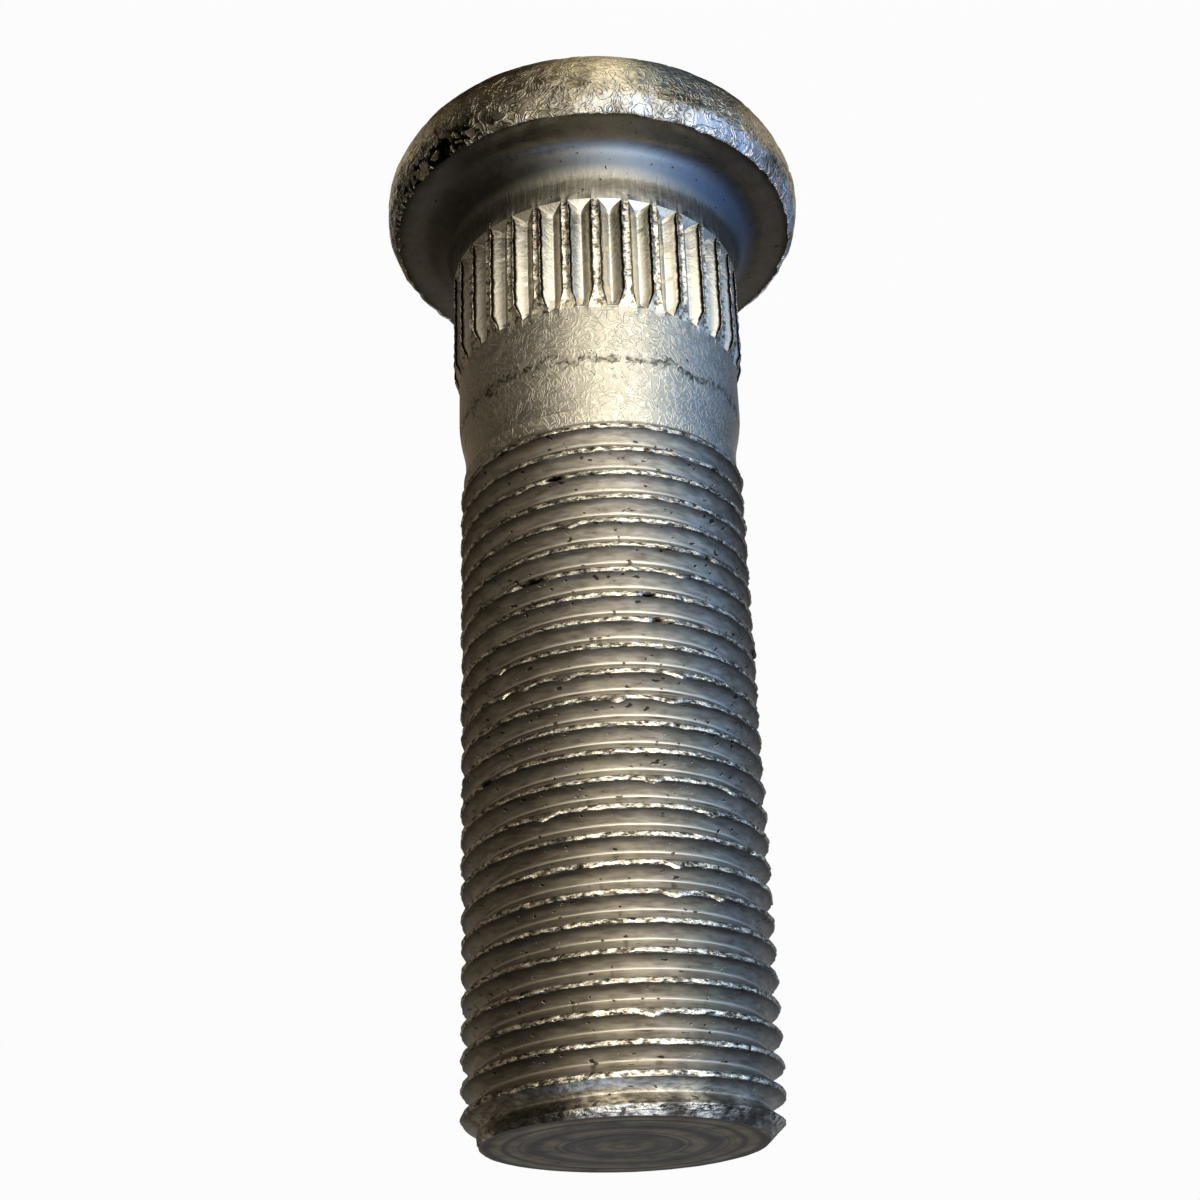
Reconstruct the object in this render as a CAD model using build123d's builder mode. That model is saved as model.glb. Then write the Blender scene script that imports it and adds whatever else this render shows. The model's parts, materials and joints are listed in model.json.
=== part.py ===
import os
from math import radians, tan

from build123d import *

os.makedirs("parts", exist_ok=True)

# All sizes are in millimetres, and every height is measured from the head's outer face.
# The stud stands on that face with its thread pointing up.

# Rolled thread, five eighths of an inch with eighteen turns to the inch
thread_diameter = 15.875
turns_per_inch = 18
thread_pitch = 25.4 / turns_per_inch
flank_angle = 30
crest_flat = thread_pitch / 8
root_flat = thread_pitch / 6

# Forged head, from its outer face to the seat that pulls against the hub
head_radius = 12.3
head_crown_radius = 3.8
head_belt = 0.5
seat_edge_height = 1.3
seat_edge_inset = 0.5
seat_edge_bulge = 0.15

# Lengths along the shank, in order from the seat to the tip
under_head_length = 53.1
seat_fillet = 1.9
collar_length = 1.2
serration_length = 7.0
pilot_length = 3.2
neck_taper = 1.7
neck_length = 0.7
runout_length = 2.0
tip_chamfer = 0.97

# The pilot clears the thread, the serrations stand proud of the pilot and the neck lies below both
pilot_clearance = 0.03
serration_rise = 0.33
neck_relief = 0.34

# Serrations rolled into the collar
serration_count = 31
serration_depth = 0.6
serration_half_angle = 46
serration_head_ramp = 0.75
serration_tip_ramp = 0.45
serration_lead = 1.6

# Radii along the shank
thread_depth = (thread_pitch - crest_flat - root_flat) / 2 / tan(radians(flank_angle))
crest_radius = thread_diameter / 2
root_radius = crest_radius - thread_depth
neck_radius = crest_radius - neck_relief
pilot_radius = crest_radius + pilot_clearance
serration_radius = pilot_radius + serration_rise
fillet_radius = serration_radius + seat_fillet
seat_radius = head_radius - seat_edge_inset

# Height of each shoulder
belt_z = head_crown_radius + head_belt
seat_z = belt_z + seat_edge_height
collar_z = seat_z + seat_fillet
serration_z = collar_z + collar_length
pilot_z = serration_z + serration_length
taper_z = pilot_z + pilot_length
neck_z = taper_z + neck_taper
thread_z = neck_z + neck_length
runout_z = thread_z + runout_length
tip_z = seat_z + under_head_length

# One pitch of the thread's outline, as a radius and a rise: crest, flank, root, flank
flank_rise = (thread_pitch - crest_flat - root_flat) / 2
outline = [
    (crest_radius, 0),
    (crest_radius, crest_flat),
    (root_radius, crest_flat + flank_rise),
    (root_radius, thread_pitch - flank_rise),
    (crest_radius, thread_pitch),
]


# One turn of a right-hand helix
def one_turn(radius, height):
    return Edge.make_helix(thread_pitch, thread_pitch, radius, center=(0, 0, height))


# The crest, flanks and root of one turn, each ruled between two helices
def turn_faces(height):
    edges = [one_turn(radius, height + rise) for radius, rise in outline]
    return [Face.make_surface_from_curves(lower, upper) for lower, upper in zip(edges, edges[1:])]


# The spiral floor and the flat step that close the thread at one end
def end_faces(height):
    axis_line = Edge.make_line((0, 0, height), (0, 0, height + thread_pitch))
    spiral = Face.make_surface_from_curves(one_turn(crest_radius, height), axis_line)
    corners = [(radius, 0, height + rise) for radius, rise in outline]
    step = Wire.make_polygon([(0, 0, height), *corners, (0, 0, height + thread_pitch)], close=True)
    return [spiral, Face(step)]


# The whole thread, long enough to pass both ends of the bar that it is rolled on
helix_z = thread_z - 1.5 * thread_pitch
helix_turns = round((tip_z - helix_z) / thread_pitch) + 1
thread_faces = end_faces(helix_z) + end_faces(helix_z + helix_turns * thread_pitch)
for turn in range(helix_turns):
    thread_faces += turn_faces(helix_z + turn * thread_pitch)
thread = Solid(Shell(thread_faces))

# One serration: a V along the collar, trimmed to a side view with a ramp at each end
valley_radius = serration_radius - serration_depth
open_radius = serration_radius + serration_depth / 2
open_half = (open_radius - valley_radius) * tan(radians(serration_half_angle))
with BuildPart() as serration:
    with BuildSketch(Plane.XY.offset(collar_z)):
        with BuildLine():
            Polyline(
                (valley_radius, 0),
                (open_radius, -open_half),
                (open_radius, open_half),
                close=True,
            )
        make_face()
    extrude(amount=taper_z - collar_z)
    with BuildSketch(Plane.XZ):
        with BuildLine():
            Polyline(
                (serration_radius, serration_z),
                (valley_radius, serration_z + serration_head_ramp),
                (valley_radius, pilot_z - serration_tip_ramp),
                (pilot_radius, pilot_z),
                (open_radius, pilot_z),
                (open_radius, serration_z),
                close=True,
            )
        make_face()
    extrude(amount=open_half, both=True, mode=Mode.INTERSECT)

with BuildPart() as wheel_stud:
    # Bar that trims the thread: it fades into the neck at one end and is chamfered at the tip
    bar_radius = crest_radius + crest_flat
    with BuildSketch(Plane.XZ):
        with BuildLine():
            Polyline(
                (0, thread_z),
                (neck_radius, thread_z),
                (bar_radius, thread_z + thread_pitch),
                (bar_radius, tip_z - tip_chamfer - crest_flat),
                (crest_radius - tip_chamfer, tip_z),
                (0, tip_z),
                close=True,
            )
        make_face()
    revolve(axis=Axis.Z)
    add(thread, mode=Mode.INTERSECT)

    # Head, fillet, collar, pilot and neck, with a cone inside on which the thread runs out
    crown_start = head_radius - head_crown_radius
    with BuildSketch(Plane.XZ):
        with BuildLine():
            Line((0, 0), (crown_start, 0))
            RadiusArc((crown_start, 0), (head_radius, head_crown_radius), -head_crown_radius)
            Line((head_radius, head_crown_radius), (head_radius, belt_z))
            ThreePointArc(
                (head_radius, belt_z),
                ((head_radius + seat_radius) / 2 + seat_edge_bulge, (belt_z + seat_z) / 2),
                (seat_radius, seat_z),
            )
            Line((seat_radius, seat_z), (fillet_radius, seat_z))
            RadiusArc((fillet_radius, seat_z), (serration_radius, collar_z), seat_fillet)
            Polyline(
                (serration_radius, collar_z),
                (serration_radius, pilot_z - serration_lead),
                (pilot_radius, pilot_z),
                (pilot_radius, taper_z),
                (neck_radius, neck_z),
                (neck_radius, thread_z),
                (root_radius - root_flat, runout_z),
                (0, runout_z),
                (0, 0),
            )
        make_face()
    revolve(axis=Axis.Z)

    # The serrations stand evenly round the collar
    with PolarLocations(0, serration_count, start_angle=180 / serration_count):
        add(serration.part, mode=Mode.SUBTRACT)

wheel_stud.part.label = "wheel_stud"
export_step(wheel_stud.part, "parts/wheel_stud.step")
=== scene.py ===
# %% [markdown]
# # A pressed-in wheel stud
#
# A wheel stud is one piece of steel. Its head is forged, a ring of serrations that grips the hub is rolled
# under the head, and the thread for the wheel nut is rolled on the rest of the shank. This lesson dresses
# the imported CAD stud: it builds one detailed mesh in the same place, gives each rolled, pressed or turned
# surface its own steel, and sets a plain stage, a light tent, a lamp and a camera.

# %% Load the frame
import json
import math

import bmesh
import bpy
from mathutils import Matrix, Vector, noise

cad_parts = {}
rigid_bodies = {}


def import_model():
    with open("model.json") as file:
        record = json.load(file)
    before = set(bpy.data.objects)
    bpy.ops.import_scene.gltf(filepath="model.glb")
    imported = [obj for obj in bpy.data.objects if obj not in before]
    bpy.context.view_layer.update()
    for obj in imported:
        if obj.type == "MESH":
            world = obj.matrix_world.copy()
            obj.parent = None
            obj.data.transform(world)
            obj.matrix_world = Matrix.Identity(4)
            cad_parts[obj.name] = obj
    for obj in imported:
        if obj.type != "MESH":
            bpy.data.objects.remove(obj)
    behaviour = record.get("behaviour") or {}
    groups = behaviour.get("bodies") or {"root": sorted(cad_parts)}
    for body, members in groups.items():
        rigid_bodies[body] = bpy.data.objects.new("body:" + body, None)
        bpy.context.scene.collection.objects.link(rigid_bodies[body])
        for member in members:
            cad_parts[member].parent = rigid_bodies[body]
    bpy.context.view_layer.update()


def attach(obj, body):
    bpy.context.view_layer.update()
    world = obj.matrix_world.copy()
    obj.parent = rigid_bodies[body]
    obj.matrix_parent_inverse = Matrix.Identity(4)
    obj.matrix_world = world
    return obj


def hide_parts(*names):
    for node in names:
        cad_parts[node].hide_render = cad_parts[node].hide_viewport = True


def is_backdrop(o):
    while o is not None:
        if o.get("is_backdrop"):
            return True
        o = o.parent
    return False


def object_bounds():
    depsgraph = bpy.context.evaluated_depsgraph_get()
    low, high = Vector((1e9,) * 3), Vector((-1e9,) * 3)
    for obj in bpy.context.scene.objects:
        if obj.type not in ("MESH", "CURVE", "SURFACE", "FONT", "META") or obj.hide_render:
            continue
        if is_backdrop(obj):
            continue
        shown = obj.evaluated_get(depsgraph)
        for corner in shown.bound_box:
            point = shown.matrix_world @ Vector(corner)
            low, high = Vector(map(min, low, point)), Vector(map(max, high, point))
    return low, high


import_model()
mm = 0.001

# %% [markdown]
# ## Head and shank, from one outline
#
# Everything below the thread is round, so it can be spun from half of its side view. The outline is drawn
# with sharp corners, and a vertex bevel then rounds the head's crown, the fillet under the head and the
# softer corners, just as the forging die rounds them. Rounding the flat outline is simpler than rounding
# the spun body afterwards, and it keeps the rows of faces even.

# %% Outline of the head and the shank
# Heights above the head's outer face and radii, in mm
belt_z, seat_z, serration_z, pilot_z, thread_z = 4.45, 5.6, 8.7, 15.7, 21.3
rim_radius, land_radius, pilot_radius, neck_radius = 12.22, 8.2975, 7.9675, 7.5975
lead = 1.0
# Each corner: radius, height, rounding and the number of steps in it
outline_corners = [
    (0.0, 0.0, 0.0, 0),
    (rim_radius, 0.0, 3.8, 20),
    (rim_radius, belt_z, 0.5, 3),
    (11.82, seat_z, 0.16, 3),
    (land_radius, seat_z, 1.9, 10),
    (land_radius, serration_z, 0.0, 0),
    (land_radius, pilot_z - lead, 0.0, 0),
    (pilot_radius, pilot_z, 0.0, 0),
    (pilot_radius, 18.9, 0.55, 3),
    (neck_radius, 20.6, 0.5, 3),
    (neck_radius, thread_z, 0.0, 0),
]
stud = bmesh.new()
points = [stud.verts.new((r * mm, 0, z * mm)) for r, z, _, _ in outline_corners]
for lower, upper in zip(points, points[1:]):
    stud.edges.new((lower, upper))
for point, (_, _, rounding, steps) in zip(points, outline_corners):
    if rounding:
        bmesh.ops.bevel(
            stud, geom=[point], offset=rounding * mm, offset_type="OFFSET", segments=steps,
            profile=0.5, affect="VERTICES", material=-1, clamp_overlap=True,
        )
print("outline:", len(stud.verts), "points")

# %% [markdown]
# Long stretches of the outline get more points, so that the serrations, dents and forged lumps have rows of
# vertices to move. The collar needs the finest rows, because its serrations end in small sloping facets.

# %% Finer rows along the outline
# Height of a row on each stretch, in mm
collar_row, lip_row, shank_row, crown_row = 0.24, 0.3, 0.45, 1.0
for edge in list(stud.edges):
    middle = (edge.verts[0].co + edge.verts[1].co) / 2 / mm
    on_lip = middle.z > 3.7 and middle.x > 11.3
    on_collar = serration_z - 0.1 < middle.z < pilot_z + 0.1
    on_shank = middle.z > seat_z - 0.1
    row = collar_row if on_collar else lip_row if on_lip else shank_row if on_shank else crown_row
    cuts = math.ceil(edge.calc_length() / mm / row - 0.01) - 1
    if cuts > 0:
        bmesh.ops.subdivide_edges(stud, edges=[edge], cuts=cuts)
print("outline:", len(stud.verts), "points after cutting")

# %% Spin the outline
serration_count = 31
columns_per_serration = 10
bmesh.ops.spin(
    stud, geom=stud.verts[:] + stud.edges[:], cent=(0, 0, 0), axis=(0, 0, 1), dvec=(0, 0, 0),
    angle=math.tau, steps=serration_count * columns_per_serration, use_merge=True,
)
bmesh.ops.remove_doubles(stud, verts=stud.verts, dist=0.0005 * mm)
print("spun body:", len(stud.faces), "faces")

# %% [markdown]
# ## Serrations
#
# A die presses 31 V-shaped grooves into the collar and leaves narrow lands between them. A boolean with 31
# cutters would do it too, but the body was spun with ten columns to a groove, so here each column is simply
# turned to its place and each vertex drawn in to the bottom, wall or lip of its groove. The edges then run
# exactly along rows of vertices and stay crisp, and the lips can be torn up a little above the land, as the
# die tears them.

# %% Groove shape
valley_radius = 7.6975
wall_lean = math.radians(49)
head_ramp, tip_ramp = 0.36, 0.45


def land_at(z):
    return land_radius - (land_radius - pilot_radius) * min(max((z - pilot_z + lead) / lead, 0), 1)


def ramp_at(z):
    if z < serration_z + head_ramp:
        return land_radius - (land_radius - valley_radius) * max(z - serration_z, 0) / head_ramp
    if z > pilot_z - tip_ramp:
        return valley_radius + (pilot_radius - valley_radius) * min((z - pilot_z + tip_ramp) / tip_ramp, 1)
    return valley_radius


# The angle from the groove's middle at which its wall reaches a radius
def wall_angle(radius):
    return math.acos(min(valley_radius / radius * math.sin(wall_lean), 1)) - (math.pi / 2 - wall_lean)


print("groove half width in degrees:", round(math.degrees(wall_angle(land_radius)), 2))

# %% Press the grooves
# Share of the way from the groove's floor to its lip for the first four columns of each half groove
column_places = [0.0, 0.55, 0.93, 1.0]
lip_step = 3
# The fifth column stands on the land, a third of the way from the land's middle to the lip
land_share = 0.33
groove_pitch = math.tau / serration_count
land_layer = stud.verts.layers.float.new("land")
valley_layer = stud.verts.layers.float.new("valley")
for name in ("crest", "shade", "root"):
    stud.verts.layers.float.new(name)
for v in stud.verts:
    radius = math.hypot(v.co.x, v.co.y) / mm
    if radius < 0.1:
        continue
    z = v.co.z / mm
    column = round(math.atan2(v.co.y, v.co.x) / groove_pitch * columns_per_serration) % (
        serration_count * columns_per_serration
    )
    groove, place = divmod(column, columns_per_serration)
    side = 1 if place < columns_per_serration / 2 else -1
    middle = (groove + (0.5 if side > 0 else 1.5)) * groove_pitch
    step = place if side > 0 else columns_per_serration - 1 - place
    inside = serration_z - 0.01 < z < pilot_z + 0.01
    land = land_at(min(max(z, serration_z), pilot_z))
    ramp = ramp_at(min(max(z, serration_z + head_ramp), pilot_z - tip_ramp))
    if inside:
        ramp = ramp_at(z)
    lip = wall_angle(land)
    foot = max(wall_angle(max(ramp, valley_radius)), 0.07 * lip)
    tear = noise.noise(Vector((groove * 3.1 + side, z * 2.6, 7))) if inside else 0
    if step <= lip_step:
        offset = foot + (lip - foot) * column_places[step]
        if inside and 0.3 < z - serration_z and step >= 2:
            offset += math.radians(0.4) * tear
    else:
        offset = groove_pitch / 2 - (groove_pitch / 2 - lip) * land_share
    angle = middle + side * offset
    if inside:
        wall = valley_radius / (math.cos(offset) - math.sin(offset) / math.tan(wall_lean))
        cut = max(min(wall, land), min(ramp / math.cos(min(offset, foot)), land))
        radius = cut if step < lip_step else land
        chip = noise.noise(Vector((angle * 26, z * 2.6, 3)))
        grit = noise.noise(Vector((angle * 70, z * 6.0, 11)))
        if step >= lip_step:
            radius += 0.05 * chip + 0.05 * grit + (0.01 if step == lip_step else -0.05)
        else:
            radius += 0.006 * grit
        v[land_layer] = 1.0 if step >= lip_step else 0.5 if step == lip_step - 1 else 0.0
        v[valley_layer] = 1.0 if step == 0 else 0.0
    v.co = Vector((radius * math.cos(angle), radius * math.sin(angle), z)) * mm
print("grooves pressed:", serration_count)

# %% [markdown]
# ## Forged unevenness of the head
#
# The die leaves the head's rim lumpy, and the edge between rim and seat is a torn lip, where the metal met
# the die's parting line. Smooth noise moves the vertices outwards and inwards by some hundredths of a
# millimetre for the lumps, and by a tenth or two along the lip. It is done in the mesh because the lip's
# broken line shows against the smooth seat; the finest wrinkles come later, as bump in the steel.

# %% Lumps and lip
# Faces from the seat up count as pressed steel; they are told from the rim before the lumps move it
seat_edge, pressed_steel = 11.7, 1
for face in stud.faces:
    middle = face.calc_center_median() / mm
    if middle.z > seat_z - 0.02 and math.hypot(middle.x, middle.y) < seat_edge:
        face.material_index = pressed_steel
# Each noise below: its turns per mm inside the brackets, its height in mm in front or behind
for v in stud.verts:
    radius, z = math.hypot(v.co.x, v.co.y) / mm, v.co.z / mm
    if radius < 3 or z > 5.75:
        continue
    at = v.co / mm
    lump = noise.noise(at * 0.35) * 0.06 + noise.noise(at * 1.1) * 0.04
    lump -= 0.09 * max(0.16 - abs(noise.noise(at * 1.5 + Vector((2, 7, 1)))), 0) / 0.16
    on_lip = min(max((z - 4.6) / 0.7, 0), 1) * min(max((radius - 11.2) / 0.4, 0), 1)
    on_rim = min(max(z / 1.0, 0), 1) * min(max((radius - 9.0) / 1.5, 0), 1)
    torn = noise.noise(at * 0.9 + Vector((5, 0, 0))) * 0.12 + noise.noise(at * 2.3) * 0.08
    push = lump * on_rim + (torn - 0.06) * on_lip
    if z > 5.5 and radius < 11.5:
        push = 0
    outward = Vector((at.x, at.y, 0)).normalized()
    v.co += outward * push * mm
    v.co.z += min(noise.noise(at * 1.7 + Vector((0, 9, 0))) * 0.05 - 0.03, 0) * on_lip * mm
print("head shaped,", sum(f.material_index for f in stud.faces), "faces kept smooth from the seat up")

# %% [markdown]
# ## Rolled thread
#
# The thread is right-handed, with 18 turns to the inch. One pitch of its side view is spun round the axis
# while it climbs by one pitch, which the spin's dvec does step by step, and that turn is copied up the
# shank. A Screw modifier could make the same shape, but the spin gives plain vertices straight away, which
# can be trimmed at both ends and roughened along the crest.

# %% One turn of the thread
pitch = 25.4 / 18
crest_radius, root_radius = 7.9375, 7.0716
tip_z, runout, tip_chamfer = 58.7, 2.0, 0.97
steps_per_turn = 228
# Share of a pitch from the middle of the crest, and share of the thread's depth
pitch_outline = [
    (0.0, 0.03), (0.04, 0.035), (0.075, 0.07), (0.115, 0.17), (0.40, 0.93),
    (0.5, 1.0), (0.60, 0.93), (0.885, 0.17), (0.925, 0.07), (0.96, 0.035), (1.0, 0.03),
]
thread = bmesh.new()
turn_points = [
    thread.verts.new(((crest_radius - depth * (crest_radius - root_radius)) * mm, 0, share * pitch * mm))
    for share, depth in pitch_outline
]
for lower, upper in zip(turn_points, turn_points[1:]):
    thread.edges.new((lower, upper))
bmesh.ops.spin(
    thread, geom=thread.verts[:] + thread.edges[:], cent=(0, 0, 0), axis=(0, 0, 1),
    dvec=(0, 0, pitch / steps_per_turn * mm), angle=math.tau, steps=steps_per_turn, use_merge=False,
)
print("one turn:", len(thread.faces), "faces")

# %% Copy the turn up the shank
crest_z = thread_z - 1.5 * pitch + pitch / 16
turns = math.ceil((tip_z - crest_z) / pitch) + 1
first_turn = thread.verts[:] + thread.edges[:] + thread.faces[:]
for turn in range(1, turns):
    copied = bmesh.ops.duplicate(thread, geom=first_turn)["geom"]
    bmesh.ops.translate(
        thread, verts=[g for g in copied if isinstance(g, bmesh.types.BMVert)], vec=(0, 0, turn * pitch * mm)
    )
bmesh.ops.translate(thread, verts=thread.verts, vec=(0, 0, crest_z * mm))
bmesh.ops.remove_doubles(thread, verts=thread.verts, dist=0.002 * mm)
print("thread:", turns, "turns,", len(thread.faces), "faces")

# %% [markdown]
# Rolling squeezes the metal up from both sides of each crest. The two lips meet in a seam along the crest
# and never quite close, so crests are ragged, with chips and small burrs that lean over the flank on the
# tip's side, while flanks and root come out smooth. Noise moves the crest's rows to make that, and the larger
# burrs and gouges are placed where the real stud shows them, with some more on the side that it hides.

# %% Where the crests are hurt
# Each mark: degrees from the front towards -X, millimetres from the tip, length along the crest
burrs = [
    (-41, 22.75, 0.5), (-40, 21.4, 0.5), (-14, 21.4, 0.7), (-30, 21.4, 0.6), (4.5, 20.2, 0.6),
    (24, 20.2, 0.9), (28, 21.7, 0.7), (50, 16.4, 1.1), (16, 16.1, 0.7), (38, 14.9, 0.9), (-23, 14.5, 0.6),
    (22, 10.4, 0.8), (40, 10.6, 0.5), (23, 11.9, 0.6), (12, 4.7, 0.8), (-10, 29.5, 0.6), (30, 27.1, 1.0),
    (-32, 33.1, 0.8), (140, 30.0, 0.9), (175, 18.0, 0.8), (215, 24.0, 0.7), (110, 9.0, 0.8),
    (250, 34.0, 0.6), (95, 26.0, 0.7),
]
# Gouges, where a piece of the crest is gone and the hollow is painted dark
gouges = [
    (-27, 26.4, 1.3), (18, 26.2, 0.6), (21, 24.9, 0.5), (-17, 32.2, 0.8), (46, 28.6, 0.6), (-52, 17.4, 0.8),
    (60, 13.2, 0.5), (150, 21.0, 0.7), (205, 29.0, 0.6), (100, 15.0, 0.5), (265, 19.0, 0.6),
]


# How deep a place on a crest lies in the marks of a list, from 0 to 1; a mark stays on its own turn
def marked(at, marks):
    own_turn, lift = 0.75, 0.0
    for degrees, from_tip, length in marks:
        dz = at.z - (tip_z - from_tip)
        if abs(dz) < own_turn:
            turn = math.radians(degrees)
            spot = Vector((-math.sin(turn), -math.cos(turn), 0)) * crest_radius
            along = math.hypot(at.x - spot.x, at.y - spot.y) / length
            lift += math.exp(-2.5 * along * along) if along < 2 else 0
    return min(lift, 1.0)


# A smooth rise from 0 to 1 between two values
def ease(value, start, end):
    share = min(max((value - start) / (end - start), 0), 1)
    return share * share * (3 - 2 * share)


print("burrs placed:", len(burrs), "and gouges:", len(gouges))

# %% Rag the crests
crest_layer = thread.verts.layers.float.new("crest")
shade_layer = thread.verts.layers.float.new("shade")
root_layer = thread.verts.layers.float.new("root")
for name in ("land", "valley"):
    thread.verts.layers.float.new(name)
thread_start = thread_z + 0.6
crest_edge, crest_fade, gouge_edge = 0.105, 0.025, 0.1
core_radius, crest_room = 6.84, 0.176
for v in thread.verts:
    at = v.co / mm
    radius = math.hypot(at.x, at.y)
    share = ((at.z - crest_z) / pitch - math.atan2(at.y, at.x) / math.tau) % 1.0
    from_crest = min(share, 1 - share)
    on_crest = min(max((crest_edge - from_crest) / crest_fade, 0), 1)
    wave = noise.noise(at * 0.6)
    chip = noise.noise(at * 1.3 + Vector((3, 1, 4)))
    grit = noise.noise(at * 3.1)
    side = noise.noise(at * 2.4 + Vector((0, 0, 17)))
    nick = max(noise.noise(at * 1.15 + Vector((0, 0, 31))) - 0.36, 0) * 0.35
    worn = 1 + 0.8 * ease(at.z, 55.5, 57.5)
    lift = marked(at, burrs) * on_crest if on_crest else 0
    gouge = marked(at, gouges) if from_crest < gouge_edge else 0
    rag = 0.03 * wave + 0.06 * chip + 0.05 * grit - 0.04 - nick
    tip_side = 1 if share < 0.5 else 0.4
    radius += on_crest * worn * rag + 0.2 * lift - 0.36 * gouge * tip_side
    lean = on_crest * (0.06 * side + 0.05 * grit + 0.03 * chip) * tip_side
    z = at.z + lean + 0.3 * lift
    low = neck_radius - (neck_radius - core_radius) * max(z - thread_start, 0) / runout
    high = neck_radius + (crest_radius + crest_room - neck_radius) * max(z - thread_start, 0) / pitch
    tip = crest_radius - (z - tip_z + tip_chamfer) + 0.045 * chip + 0.02 * grit
    radius = min(max(radius, low), max(high, neck_radius), tip)
    scale = radius / math.hypot(at.x, at.y)
    v.co = Vector((at.x * scale, at.y * scale, z)) * mm
    grown = ease(z, thread_start, thread_start + 1.2)
    v[crest_layer] = on_crest * grown * (1 - gouge)
    # The root attribute marks where a highlight is painted along the root
    v[root_layer] = grown if 0.45 < share < 0.55 else 0.0
    # Painted shade lies below both edges of a crest, less of it beside the root, and a gouge is painted dark
    # all over
    painted_shade = 1.0 if 0.1 < share < 0.2 else 0.9 if 0.8 < share < 0.9 else 0.5 if 0.55 < share < 0.65 else 0
    v[shade_layer] = 1.0 if gouge > 0.4 else grown * painted_shade
print("crests ragged:", len(thread.verts), "vertices moved")

# %% Trim both ends
for height, keep_above in ((thread_z, True), (tip_z - 0.002, False)):
    bmesh.ops.bisect_plane(
        thread, geom=thread.verts[:] + thread.edges[:] + thread.faces[:], dist=0.001 * mm,
        plane_co=(0, 0, height * mm), plane_no=(0, 0, 1), clear_inner=keep_above, clear_outer=not keep_above,
    )
print("trimmed thread:", len(thread.faces), "faces")

# %% [markdown]
# ## Turned end
#
# The bar was cut off and faced on a lathe, so the flat end carries shallow rings. The open rim of the thread
# is extruded inwards ring by ring, each a hundredth of a millimetre higher or lower than the last one, and
# the last ring is merged into a point. Insets of one filled face would do it too, but they cross themselves
# on a rim that is as uneven as this one.

# %% Face the end
rim = [e for e in thread.edges if e.is_boundary and min(v.co.z for v in e.verts) > (tip_z - 0.01) * mm]
# Each ring: its radius and its depth below the tip, in mm
end_rings = [
    (6.72, 0.002), (6.45, 0.01), (6.1, 0.004), (5.75, 0.011), (5.2, 0.006), (4.9, 0.013), (4.5, 0.008),
    (3.8, 0.011), (3.4, 0.006), (2.9, 0.014), (2.2, 0.01), (1.8, 0.016), (1.0, 0.006), (0.5, 0.012),
]
for ring_radius, depth in end_rings:
    made = bmesh.ops.extrude_edge_only(thread, edges=rim)["geom"]
    rim_points = [g for g in made if isinstance(g, bmesh.types.BMVert)]
    rim = [g for g in made if isinstance(g, bmesh.types.BMEdge) and g.is_boundary]
    for v in rim_points:
        flat = Vector((v.co.x, v.co.y, 0)).normalized() * ring_radius
        v.co = Vector((flat.x, flat.y, tip_z - depth)) * mm
bmesh.ops.pointmerge(thread, verts=rim_points, merge_co=(0, 0, (tip_z - 0.02) * mm))
print("end rings:", len(end_rings), "open edges left:", sum(e.is_boundary for e in thread.edges))

# %% Join thread and shank
thread_mesh = bpy.data.meshes.new("thread_for_joining")
thread.to_mesh(thread_mesh)
stud.from_mesh(thread_mesh)
thread.free()
bpy.data.meshes.remove(thread_mesh)
neck_edges = [e for e in stud.edges if e.is_boundary]
print("open edges at the neck:", len(neck_edges))
bmesh.ops.bridge_loops(stud, edges=neck_edges)
bmesh.ops.recalc_face_normals(stud, faces=stud.faces)
print("stud:", len(stud.faces), "faces, open edges:", sum(e.is_boundary for e in stud.edges))

# %% [markdown]
# ## Zones of steel
#
# The stud is one steel, yet each way of working it left another surface. Every face gets the number of its
# finish from its height and radius: forged head, pressed seat and collar, serrations, pilot and neck, rolled
# thread, and turned end. Numbers on the faces of one mesh keep the piece whole, as the real stud is.

# %% Number the finishes
serration_steel, pilot_steel, thread_steel, end_steel = 2, 3, 4, 5
end_radius, first_crest = 6.9, 7.75
sharp = math.radians(42)
for face in stud.faces:
    middle = face.calc_center_median() / mm
    radius = math.hypot(middle.x, middle.y)
    if middle.z > tip_z - 0.2 and radius < end_radius:
        face.material_index = end_steel
    elif middle.z > thread_start + 0.7 or (middle.z > thread_start and radius > first_crest):
        face.material_index = thread_steel
    elif middle.z > pilot_z:
        face.material_index = pilot_steel
    elif middle.z > serration_z:
        face.material_index = serration_steel
    face.smooth = True
shade_layer = stud.verts.layers.float["shade"]
for edge in stud.edges:
    below_crest = all(v[shade_layer] > 0.8 for v in edge.verts)
    edge.smooth = not (below_crest or edge.calc_face_angle(0) > sharp)
print("faces of each finish:", [sum(f.material_index == number for f in stud.faces) for number in range(6)])

# %% Make the piece
stud_mesh = bpy.data.meshes.new("wheel_stud_steel")
stud.to_mesh(stud_mesh)
stud.free()
piece = bpy.data.objects.new("wheel_stud_steel", stud_mesh)
bpy.context.scene.collection.objects.link(piece)
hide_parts("wheel_stud")
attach(piece, "root")
stud_mesh.calc_loop_triangles()
print("piece:", len(stud_mesh.loop_triangles), "triangles")

# %% [markdown]
# ## Tools for the materials
#
# Small functions serve every material. The first turns an sRGB hex code into the linear colour that shaders
# use. The second fills a node's sockets: a number or colour is set, and a node or one of its outputs is
# linked, where a node alone stands for its first output in use. The third adds a node, whose kind is given
# without the word ShaderNode, and the last one starts a bare steel.


# %% Colour and node helpers
def linear(code):
    parts = [int(code[i : i + 2], 16) / 255 for i in (1, 3, 5)]
    return (*[p / 12.92 if p <= 0.04045 else ((p + 0.055) / 1.055) ** 2.4 for p in parts], 1.0)


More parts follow.
